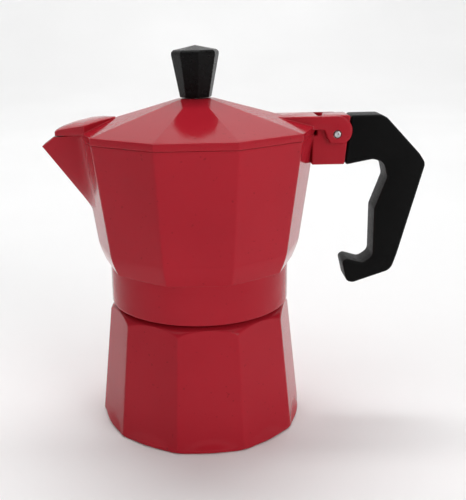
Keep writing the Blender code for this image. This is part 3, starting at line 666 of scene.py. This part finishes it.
def collector_rows(phi):
    """Rows down the outside from the rim, up the collar's bore and up the bowl inside."""
    rows, kinds = [], []

    def add(radius, z, kind):
        rows.append(polar(radius, phi, z))
        kinds.append(kind)

    for z, inset in ((RIM_Z, 0.35), (RIM_Z - 0.1, 0.1), (RIM_Z - 0.35, 0.0)):
        radius, height = under_lip(outer_r, phi, z, inset)
        add(radius, height, 0)
    heights = (list(np.arange(121.0, 98.0, -1.6)) + list(np.arange(98.0, 82.0, -0.8))
               + list(np.arange(82.0, 77.0, -1.2)) + list(np.arange(77.0, 69.6, -0.6))
               + list(np.arange(69.5, 66.0, -0.18)) + [65.0, 60.0, 56.0, 53.6])
    for z in heights:
        radius, height = under_lip(outer_r, phi, z)
        add(radius, height, 0)
    bore = rounded([(COLLAR_R, 53.4, 0), (COLLAR_R, COLLAR_Z, 0.6), (34.2, COLLAR_Z, 0.3),
                    (COLLAR_BORE_R, 53.2, 0.3), (COLLAR_BORE_R, SEAT_Z, 0.4), (26.0, SEAT_Z, 0),
                    (26.0, SEAT_Z + 0.5, 0), (4.3, SEAT_Z + 3.1, 0), (4.3, 75.5, 0.3),
                    (8.6, 75.5, 0.5), (9.3, 74.6, 0.4), (10.4, 72.6, 0.8), (33.0, 72.6, 5.0),
                    (38.2, 76.8, 3.0), (41.0, 83.0, 0)], 5, False)
    for r, z in finer(bore, 3.0):
        facets = bowl_r(phi, z, 110.0)
        free = z < 72.5 or r < 20.0
        kind = 0 if (r > 35.0 and z < 53.5) else 1
        add(np.full_like(phi, r) if free else soft_min(np.full_like(phi, r), facets, 2.5), z, kind)
    for z in list(np.arange(84.0, 120.0, 1.5)) + [121.0, 121.6]:
        radius, height = under_lip(inner_r, phi, z)
        add(radius, height, 1)
    for z, inset in ((RIM_Z - 0.1, -0.1), (RIM_Z, -0.35)):
        radius, height = under_lip(inner_r, phi, z, inset)
        add(radius, height, 1 if z < RIM_Z else 0)
    return rows, kinds


phi = facet_angles(0.0, 16)
spread = math.pi + np.radians(np.arange(-SPOUT_SPREAD, SPOUT_SPREAD + 0.01, 0.6))
phi = np.unique(np.round(np.concatenate([np.mod(phi, 2.0 * math.pi), spread]), 4))
rows, kinds = collector_rows(phi)
collector = skin("collector_look", rows, True, kinds)

HINGE_TOP_Z = PIN_Z + 7.2
bracket = side_solid("bracket", rounded([
    (46.4, 109.1, 0.0), (59.5, 109.1, 0.6), (61.5, HINGE_TOP_Z, 0.9), (51.9, HINGE_TOP_Z, 1.6),
    (49.2, 125.9, 1.6), (48.3, 123.4, 1.2), (48.3, 121.0, 0.0), (46.4, 121.0, 0.0)]),
    6.4, 0.7, 4)
tang = box((58.0, -3.0, 114.6), (73.5, 3.0, 125.4))
combine(bracket, [tang], "UNION")
combine(bracket, [rod(PIN_BORE_R, (PIN_X, -12, PIN_Z), (PIN_X, 12, PIN_Z), 32),
                  rod(SCREW_HOLE_R, (SCREW_X, 0, 104), (SCREW_X, 0, 123), 32)])
merge(collector, [bracket])
piece(collector, "top", [RED, CAST], ["collector"], 40.0)


# ---------------------------------------------------------------- lid
def lid_rows(phi):
    """Rows out from the knob's hole over the facets, round the rim and back underneath."""
    rows = []
    shell = [(1.7, LID_TOP_Z), (5.6, LID_TOP_Z), (LID_TOP_R, LID_TOP_Z - 0.1)]
    shell += finer([(LID_TOP_R + 1.0, LID_TOP_Z - LID_SLOPE), (LID_RIM_R - 0.45,
                    LID_RIM_Z + 0.45 * LID_SLOPE)], 3.0)
    shell += arc(LID_RIM_R - 0.35, LID_RIM_Z - 0.28, 0.35, 75.0, 0.0, 4)
    shell += arc(LID_RIM_R - 0.4, LID_LOW_Z + 0.4, 0.4, 0.0, -90.0, 3)
    shell += [(LID_RIM_R - 2.4, LID_LOW_Z), (LID_RIM_R - 2.6, LID_LOW_Z + 0.2),
              (LID_RIM_R - 2.7, LID_RIM_Z - 1.9)]
    shell += finer([(LID_RIM_R - 3.4, LID_RIM_Z - 1.5), (6.2, LID_TOP_Z - LID_WALL)], 4.0)
    shell += [(1.7, LID_TOP_Z - LID_WALL)]
    for r, z in shell:
        power = 2500.0 if r > 7.5 else (60.0 if r > 5.0 else 2.0)
        if power > 2.0:
            rows.append(polar(polygon_r(phi, r, power=power), phi, z))
        else:
            rows.append(polar(np.full_like(phi, r), phi, z))
    return rows


def hood_section(x, half, top, low, crown, count=11):
    """One section of the hood across X: flat sides and an arched top."""
    side = np.linspace(1.0, -1.0, count)
    arch = [(x, half * s, top - crown * abs(s) ** 2.2) for s in side]
    return [(x, half, low), (x, half, (low + top - crown) / 2.0)] + arch + [
        (x, -half, (low + top - crown) / 2.0), (x, -half, low)]


def hood_solid(name, sections, steps):
    """A closed loft through the hood's sections, straight in plan and curved on top."""
    keys = np.array([np.array(s, float) for s in sections])
    rings = []
    for a, b in zip(keys, keys[1:]):
        rings += [a + (b - a) * k / steps for k in range(steps)]
    rings.append(keys[-1])
    mesh = bpy.data.meshes.new(name)
    bm = bmesh.new()
    made = [[bm.verts.new(p * MM) for p in ring] for ring in rings]
    for low, high in zip(made, made[1:]):
        for i in range(len(low)):
            j = (i + 1) % len(low)
            bm.faces.new((low[i], low[j], high[j], high[i]))
    bm.faces.new(made[0][::-1])
    bm.faces.new(made[-1])
    bmesh.ops.recalc_face_normals(bm, faces=bm.faces)
    bm.to_mesh(mesh)
    bm.free()
    return make(name, mesh)


def hood_top(x):
    """Height of the hood's crown along the pot."""
    return np.interp(x, [-57.6, -56.4, -54.5, -50.0, -43.8, -38.5, -33.0],
                     [124.8, 125.6, 126.4, 127.9, 129.1, 129.7, 129.7])


def hood_half(x):
    """Half width of the hood in plan: two straight runs meeting at the lid's rim."""
    return np.interp(x, [-57.6, -43.8, -33.0], [4.0, 15.2, 1.4])


def hood_crown(x):
    """How far the hood's top falls to its sides."""
    return np.interp(x, [-57.6, -54.5, -50.0, -43.8, -38.5, -33.0], [0.4, 1.0, 1.4, 1.2, 0.8, 0.2])


hood_x = list(np.linspace(-57.6, -43.8, 13)) + list(np.linspace(-43.8, -33.0, 9))[1:]
hood = hood_solid("hood", [hood_section(x, hood_half(x), hood_top(x), np.interp(
    x, [-57.6, -43.8, -33.0], [122.7, 124.2, 125.8]),
    hood_crown(x)) for x in hood_x], 1)
soften(hood, 0.5, 3, 50.0)


def hood_way():
    """The passage under the hood and through the lid's rim."""
    keys = [(-58.5, 2.4, 122.9, 0.2), (-55.5, 4.0, 124.1, 0.3), (-50.0, 8.0, 125.8, 0.9),
            (-44.2, 12.4, 126.9, 0.9), (-38.5, 8.0, 127.6, 0.6), (-34.0, 4.0, 127.6, 0.4)]
    return hood_solid("hood_way", [hood_section(x, h, t, 121.0, c) for x, h, t, c in keys], 2)


def lid_hollow():
    """The space inside the lid, as a cutter."""
    phi = facet_angles(0.0, 2, 0.0)
    keys = [(0.01, LID_TOP_Z - LID_WALL), (6.2, LID_TOP_Z - LID_WALL),
            (LID_RIM_R - 2.7, LID_RIM_Z - 1.8), (LID_RIM_R - 2.6, LID_LOW_Z - 6.0),
            (0.01, LID_LOW_Z - 6.0)]
    return skin("lid_hollow", [polar(polygon_r(phi, r, power=400.0), phi, z) for r, z in keys],
                True)


lid = skin("lid_look", lid_rows(facet_angles(0.0, 18)))
combine(lid, [hood_way()])
combine(hood, [hood_way(), lid_hollow()])
ears = rounded([(30.0, 124.2, 0.0), (50.9, 123.2, 0.8), (51.8, 120.4, 0.0), (53.4, 117.8, 0.9),
                (59.4, 117.8, 0.7)], 4, False)
ears += arc(PIN_X, PIN_Z + 1.2, 6.0, -38.0, 90.0, 24) + [(30.0, HINGE_TOP_Z)]
tongue = side_solid("tongue", ears, 8.5, 0.8, 4)
combine(tongue, [box((47.2, -6.7, 110.0), (70.0, 6.7, 126.4)),
                 box((48.3, -6.7, 110.0), (70.0, 6.7, 140.0)),
                 rod(PIN_BORE_R, (PIN_X, -14, PIN_Z), (PIN_X, 14, PIN_Z), 32), lid_hollow()])
merge(lid, [hood, tongue])
piece(lid, "lid", [RED], ["lid"], 38.0, (0.0, LID_RIM_Z - 0.5, LID_TOP_Z + 1.0))


# ---------------------------------------------------------------- knob and its fixing
def knob_rows():
    """Rows up the knob's eight sides, over its shallow point and down its bore."""
    u = np.arange(14) / 14
    u = u - 0.7 * np.sin(2 * math.pi * np.arange(14) / 14) / (2 * math.pi)
    phi = np.concatenate([KNOB_YAW + math.pi / 4.0 * (k + u) for k in range(8)])
    shape = rounded([(2.9, 0.0, 0), (6.45, 0.0, 0.5), (9.72, 16.7, 0.5), (9.65, 17.8, 0.5),
                     (8.8, 18.62, 0.4), (0.05, 20.4, 0)], 4, False)
    rows = []
    for r, z in finer(shape, 1.2):
        ring = polygon_r(phi, r, KNOB_YAW, 8, 120.0) if r > 4.5 or z > 10 else r
        rows.append(polar(np.broadcast_to(ring, phi.shape), phi, KNOB_Z + z))
    rows.insert(0, polar(np.full_like(phi, 2.9), phi, KNOB_Z + 10.0))
    rows.insert(0, polar(np.full_like(phi, 0.0), phi, KNOB_Z + 10.0))
    rows.append(polar(np.full_like(phi, 0.0), phi, KNOB_Z + 20.4))
    return rows


knob = skin("knob_look", knob_rows(), False)
piece(knob, "lid", [KNOB_BLACK], ["knob"], 34.0)

# ---------------------------------------------------------------- hinge pin
pin_end = [(0.0, 8.55), (0.45, 8.6), (0.6, 8.85), (0.95, 8.9), (1.25, 8.75), (1.35, 8.4)]
pin = spin("pin_look", pin_end + [(r, -z) for r, z in reversed(pin_end)], 48, False)
pin.data.transform(Matrix.Translation((PIN_X * MM, 0.0, PIN_Z * MM))
                   @ Matrix.Rotation(math.pi / 2.0, 4, "X"))
piece(pin, "top", [STEEL], ["hinge_pin"], 40.0)

# ---------------------------------------------------------------- handle
handle = side_solid("handle_look", rounded([
    (61.9, 128.7, 1.0), (73.9, 128.7, 3.0), (76.2, 127.4, 3.0), (89.6, 112.9, 4.0),
    (92.3, 108.9, 4.0), (82.6, 70.8, 6.0), (80.4, 63.9, 5.0), (64.6, 58.4, 3.5),
    (62.0, 59.2, 2.5), (60.0, 67.7, 1.8), (61.8, 69.0, 1.8), (68.6, 67.0, 3.0),
    (72.6, 69.8, 3.5), (72.4, 90.2, 4.0), (77.1, 103.3, 4.0), (75.6, 109.6, 4.0),
    (71.0, 110.9, 4.0), (60.0, 108.8, 0.8)], 6), 6.2, 1.9, 5, 55.0)
combine(handle, [box((55.0, -3.3, 114.3), (73.8, 3.3, 125.7)),
                 rod(SCREW_HOLE_R, (SCREW_X, 0, 104), (SCREW_X, 0, 118), 32),
                 rod(SCREW_HEAD_R, (SCREW_X, 0, 104), (SCREW_X, 0, 112.6), 48)])
piece(handle, "top", [HANDLE_BLACK], ["handle"], 40.0)


# ---------------------------------------------------------------- funnel, gasket and filter
def disc(name, radius, low, high, rings, hole_r):
    """A thin round plate with rings of round holes (radius, count)."""
    outlines = [arc(0.0, 0.0, radius, 0.0, 360.0 * 95 / 96, 95)]
    for reach, count in rings:
        for k in range(count):
            a = 2.0 * math.pi * (k + 0.5 * (count % 2)) / count
            outlines.append(arc(reach * math.cos(a), reach * math.sin(a), hole_r, 0.0, 324.0, 9))
    obj = flat_solid(name, outlines, (high - low) / 2.0)
    obj.data.transform(Matrix.Translation((0.0, 0.0, (low + high) / 2.0 * MM)))
    return obj


flange_z = NECK_TOP_Z + 0.3
basket = spin("funnel_basket_look", rounded([
    (28.2, flange_z + 0.8, 0.2), (31.8, flange_z + 0.8, 0.2), (31.8, flange_z, 0.2),
    (29.1, flange_z, 0.4), (29.1, 43.0, 1.6), (23.0, 42.0, 1.0), (5.9, 37.4, 1.2),
    (5.9, 33.0, 0.3), (4.9, 33.0, 0.1), (4.9, 38.6, 0.5), (21.0, 41.85, 0.1),
    (21.0, 43.8, 0.3), (28.2, 44.6, 1.2)], 5), 128)
piece(basket, "funnel", [SPUN], ["funnel_basket"])
tube = spin("funnel_tube_look", rounded([
    (3.8, 39.4, 0.2), (4.6, 39.4, 0.2), (4.6, 7.0, 0.3), (3.8, 7.0, 0.2)], 3), 64)
piece(tube, "funnel", [SPUN], ["funnel_tube"])
strainer = disc("funnel_strainer_look", 20.6, 42.25, 42.95,
                [(0.0, 1), (3.6, 6), (7.2, 12), (10.8, 18), (14.4, 24), (18.0, 30)], 0.6)
piece(strainer, "funnel", [SPUN], ["funnel_strainer"])
gasket = spin("gasket_look", rounded([
    (29.9, SEAT_Z - 0.3, 0.3), (33.3, SEAT_Z - 0.3, 0.6), (33.3, 64.0, 0.6), (27.0, 64.0, 0.6),
    (27.0, 67.9, 0.3), (29.9, 67.9, 0.1)], 4), 128)
piece(gasket, "seal", [RUBBER], ["gasket"])
plate = disc("filter_plate_look", 29.6, 68.2, 69.0,
             [(0.0, 1), (3.4, 6), (6.8, 12), (10.2, 18), (13.6, 24), (17.0, 30), (20.4, 36),
              (23.8, 42)], 0.55)
piece(plate, "filter", [SPUN], ["filter_plate"])

# ---------------------------------------------------------------- coffee column
column = spin("coffee_column_look", rounded([
    (2.6, 108.5, 0.2), (4.7, 108.5, 0.3), (7.2, 77.2, 0.5), (7.2, 75.8, 0.4), (4.0, 75.8, 0.1),
    (4.0, 72.5, 0.2), (2.6, 72.5, 0.2)], 4), 72)
combine(column, [box((-10, -1.2, 101.5), (10, 1.2, 106.0))])
piece(column, "top", [SPUN], ["coffee_column"])
cap = spin("column_cap_look", rounded([
    (0.0, 111.2, 0), (3.6, 111.0, 1.0), (5.8, 109.9, 0.8), (6.0, 108.8, 0.2), (2.3, 108.8, 0.1),
    (2.3, 106.6, 0.3), (0.0, 106.6, 0)], 4, False), 64, False)
piece(cap, "top", [SPUN], ["column_cap"])

# ---------------------------------------------------------------- valve spring
def coil(name, radius, pitch, turns, wire_r):
    """A wire wound about Z from height 0, with flat ends."""
    t = np.linspace(0.0, turns, int(turns * 40) + 1)
    about = np.linspace(0.0, 2.0 * math.pi, 12, endpoint=False)[None, :]
    t = np.concatenate([t[:1], t, t[-1:]])
    phi = 2.0 * math.pi * t[:, None]
    wire = np.concatenate([[0.0], np.full(len(t) - 2, wire_r), [0.0]])[:, None]
    return skin(name, polar(radius + wire * np.cos(about), phi,
                            wire_r + pitch * t[:, None] + wire * np.sin(about)), False)


SPRING_X = 35.7
spring = coil("valve_spring_look", 1.75, 0.85, 3.0, 0.24)
spring.data.transform(Matrix.Translation(Vector(radial(SPRING_X)) * MM)
                      @ Matrix.Rotation(VALVE_AZ, 4, "Z") @ Matrix.Rotation(math.pi / 2.0, 4, "Y"))
piece(spring, "base", [STEEL], ["valve_spring"], 60.0)
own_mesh(spring)

# ---------------------------------------------------------------- small fittings kept from CAD
for node, mat in (("valve_body", BRASS), ("valve_plunger", STEEL),
                  ("valve_retainer", BRASS), ("knob_insert", BRASS), ("knob_washer", STEEL),
                  ("knob_screw", STEEL), ("handle_screw", STEEL)):
    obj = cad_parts[node]
    obj.data.materials.clear()
    obj.data.materials.append(mat)


# ---------------------------------------------------------------- stage, light and camera
def ground():
    """A pale sweep: floor in front, curving up behind."""
    points = [(y, 0.0) for y in np.linspace(-3.0, 1.2, 20)]
    points += [(1.2 + 0.8 * math.sin(a), 0.8 - 0.8 * math.cos(a))
               for a in np.linspace(0.08, math.pi / 2.0, 16)]
    points += [(2.0, 3.4)]
    mesh = bpy.data.meshes.new("ground")
    verts = [(x, y, z - 0.0002) for y, z in points for x in (-2.6, 2.6)]
    faces = [(2 * i, 2 * i + 1, 2 * i + 3, 2 * i + 2) for i in range(len(points) - 1)]
    mesh.from_pydata(verts, [], faces)
    obj = make("ground", mesh)
    mesh.shade_smooth()
    n = Nodes("ground_paper")
    soft = n.noise(3.0, 2.0)
    base = n.mix(n.span(soft, 0.3, 0.7, 0.0, 1.0), (0.90, 0.90, 0.90), (0.94, 0.94, 0.94))
    mesh.materials.append(n.finish(colour=base, roughness=0.75, specular=0.2))


def area(name, where, look_at, size, energy):
    """A soft rectangular white light, itself unseen by the camera."""
    data = bpy.data.lights.new(name, "AREA")
    data.shape = "RECTANGLE"
    data.size, data.size_y = size
    data.energy = energy
    obj = bpy.data.objects.new(name, data)
    bpy.context.scene.collection.objects.link(obj)
    obj.visible_camera = False
    obj.location = where
    obj.rotation_euler = (Vector(look_at) - Vector(where)).to_track_quat("-Z", "Y").to_euler()


def room(horizon, overhead):
    """A dim white room that is bright along its horizon."""
    world = bpy.data.worlds.new("studio")
    bpy.context.scene.world = world
    world.use_nodes = True
    tree = world.node_tree
    way = tree.nodes.new("ShaderNodeTexCoord")
    split = tree.nodes.new("ShaderNodeSeparateXYZ")
    fall = tree.nodes.new("ShaderNodeMapRange")
    for key, value in (("From Min", 0.10), ("From Max", 0.30), ("To Min", horizon),
                       ("To Max", overhead)):
        fall.inputs[key].default_value = value
    tree.links.new(way.outputs["Generated"], split.inputs[0])
    tree.links.new(split.outputs["Z"], fall.inputs["Value"])
    tree.links.new(fall.outputs["Result"], tree.nodes["Background"].inputs["Strength"])
    tree.nodes["Background"].inputs["Color"].default_value = (1.0, 1.0, 1.0, 1.0)


# name, place, what it faces, size in metres, power in watts
LIGHTS = (("over", (0.0, -0.45, 1.8), (0.0, -0.15, 0.0), (2.4, 1.2), 9.5),
          ("key", (0.95, -1.15, 0.75), (0.0, 0.0, 0.08), (0.7, 0.7), 5.8),
          ("low", (0.86, -0.86, 0.09), (0.0, 0.0, 0.06), (0.22, 0.16), 1.1),
          ("left", (-1.15, -0.75, 0.55), (0.0, 0.0, 0.08), (0.6, 0.9), 0.5),
          ("floor", (0.0, 0.35, 1.5), (0.0, 0.30, 0.0), (1.2, 0.5), 5.5),
          ("backdrop", (0.0, 0.75, 2.6), (0.0, 2.0, 0.9), (2.0, 0.5), 31.0))

ground()
for light in LIGHTS:
    area(*light)
room(horizon=0.85, overhead=0.13)
bpy.context.scene.view_settings.view_transform = "Standard"

camera = bpy.data.cameras.new("camera")
camera.sensor_width = 36.0
camera.sensor_fit = "HORIZONTAL"
camera.lens = 57.83
camera.shift_x = 0.110
camera.shift_y = -0.037
camera.clip_start = 0.01
camera.dof.use_dof = False
view = bpy.data.objects.new("camera", camera)
bpy.context.scene.collection.objects.link(view)
view.matrix_world = (Matrix.Translation((0.0016, -0.3066, 0.1641))
                     @ Matrix.Rotation(math.radians(1.62), 4, "Z")
                     @ Matrix.Rotation(math.radians(90.0 - 15.35), 4, "X")
                     @ Matrix.Rotation(math.radians(-1.45), 4, "Z"))
bpy.context.scene.camera = view
